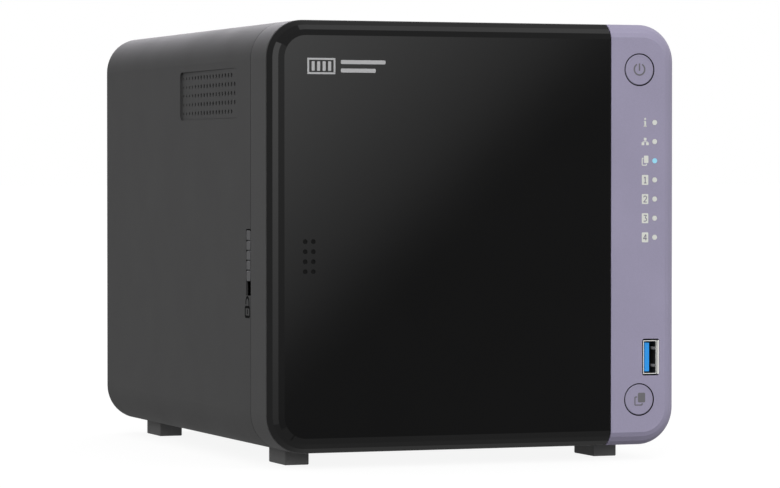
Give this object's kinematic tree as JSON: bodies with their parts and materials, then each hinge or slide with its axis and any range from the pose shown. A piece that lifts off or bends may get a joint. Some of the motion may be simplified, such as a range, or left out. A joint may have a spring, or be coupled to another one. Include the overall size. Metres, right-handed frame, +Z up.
{
  "type": "nas enclosure",
  "caption": "Desktop network storage enclosure: steel casing with side vents, pull-off gloss door over upright drive trays, and a pale control strip with buttons and lights.",
  "frame": {"origin": "on the ground under the middle of the enclosure's outline", "axes": "+X right and +Y to the rear for a person in front of it, +Z up"},
  "size_m": [0.168, 0.2262, 0.17],
  "materials": {
    "casing_paint": "fine satin powder coat",
    "bezel_plastic": "dark grey, fine spark texture",
    "strip_plastic": "pale lavender grey, fine texture",
    "door_gloss": "high gloss black",
    "inner_plastic": "black, moulded",
    "chassis_steel": "zinc plated sheet",
    "screw_steel": "plated",
    "chrome_wire": "bright plated wire",
    "foot_rubber": "matt",
    "board_green": "glass epoxy with solder resist",
    "connector_black": "moulded",
    "usb_blue": "bright blue",
    "light_pipe": "translucent white",
    "aluminium": "extruded",
    "magnet": "nickel plated",
    "jack_steel": "tinned shield"
  },
  "bodies": {
    "enclosure": {"accent_strip": "strip_plastic", "backplane_board": "board_green", "base_plate": "casing_paint", "board_screws": "screw_steel", "board_standoffs": "screw_steel", "cage_floor": "chassis_steel", "cage_left_wall": "chassis_steel", "cage_right_wall": "chassis_steel", "cage_roof": "chassis_steel", "cpu_heatsink": "aluminium", "dc_inlet": "connector_black", "drive_clips": "inner_plastic", "drive_connectors": "connector_black", "expansion_slot_cover": "chassis_steel", "fan_frame": "inner_plastic", "fan_guard": "chrome_wire", "fan_screws": "screw_steel", "feet": "foot_rubber", "foot_screws": "screw_steel", "front_bezel": "bezel_plastic", "front_board": "board_green", "front_usb_shell": "jack_steel", "front_usb_tongue": "usb_blue", "lan_jacks": "jack_steel", "left_vent_panel": "casing_paint", "light_pipe": "light_pipe", "lower_bay_guide": "inner_plastic", "magnet_strikes": "magnet", "main_board": "board_green", "memory_module": "board_green", "memory_socket": "connector_black", "outer_casing": "casing_paint", "processor": "connector_black", "rear_panel": "casing_paint", "rear_screws": "screw_steel", "rear_usb_shell": "jack_steel", "rear_usb_tongues": "usb_blue", "right_vent_panel": "casing_paint", "tact_switches": "connector_black", "tray_1": "inner_plastic", "tray_2": "inner_plastic", "tray_3": "inner_plastic", "tray_4": "inner_plastic", "tray_lever_1": "inner_plastic", "tray_lever_2": "inner_plastic", "tray_lever_3": "inner_plastic", "tray_lever_4": "inner_plastic", "upper_bay_guide": "inner_plastic"},
    "door": {"door_cover": "door_gloss", "door_frame": "inner_plastic", "door_magnets": "magnet"},
    "lock": {"lock_slider": "bezel_plastic"},
    "power_key": {"power_button": "strip_plastic"},
    "copy_key": {"copy_button": "strip_plastic"},
    "reset_key": {"reset_button": "connector_black"},
    "fan": {"fan_rotor": "inner_plastic"},
    "latch_1": {"tray_latch_1": "inner_plastic"},
    "latch_2": {"tray_latch_2": "inner_plastic"},
    "latch_3": {"tray_latch_3": "inner_plastic"},
    "latch_4": {"tray_latch_4": "inner_plastic"}
  },
  "joints": [
    {"name": "door_pull", "type": "slide", "parent": "enclosure", "child": "door", "axis": [0, -1, 0], "range_m": [0, 0.14]},
    {"name": "lock_slide", "type": "slide", "parent": "enclosure", "child": "lock", "axis": [0, 0, -1], "range_m": [0, 0.0054]},
    {"name": "power_button_press", "type": "slide", "parent": "enclosure", "child": "power_key", "axis": [0, 1, 0], "range_m": [0, 0.001], "stiffness_N_per_m": 900},
    {"name": "copy_button_press", "type": "slide", "parent": "enclosure", "child": "copy_key", "axis": [0, 1, 0], "range_m": [0, 0.001], "stiffness_N_per_m": 900},
    {"name": "reset_button_press", "type": "slide", "parent": "enclosure", "child": "reset_key", "axis": [0, -1, 0], "range_m": [0, 0.0008], "stiffness_N_per_m": 600},
    {"name": "fan_spin", "type": "hinge", "parent": "enclosure", "child": "fan", "pos_m": [-0.016, 0.092, 0.088], "axis": [0, 1, 0], "continuous": true},
    {"name": "tray_latch_1_press", "type": "slide", "parent": "enclosure", "child": "latch_1", "axis": [0, 1, 0], "range_m": [0, 0.0014], "stiffness_N_per_m": 600},
    {"name": "tray_latch_2_press", "type": "slide", "parent": "enclosure", "child": "latch_2", "axis": [0, 1, 0], "range_m": [0, 0.0014], "stiffness_N_per_m": 600},
    {"name": "tray_latch_3_press", "type": "slide", "parent": "enclosure", "child": "latch_3", "axis": [0, 1, 0], "range_m": [0, 0.0014], "stiffness_N_per_m": 600},
    {"name": "tray_latch_4_press", "type": "slide", "parent": "enclosure", "child": "latch_4", "axis": [0, 1, 0], "range_m": [0, 0.0014], "stiffness_N_per_m": 600}
  ]
}
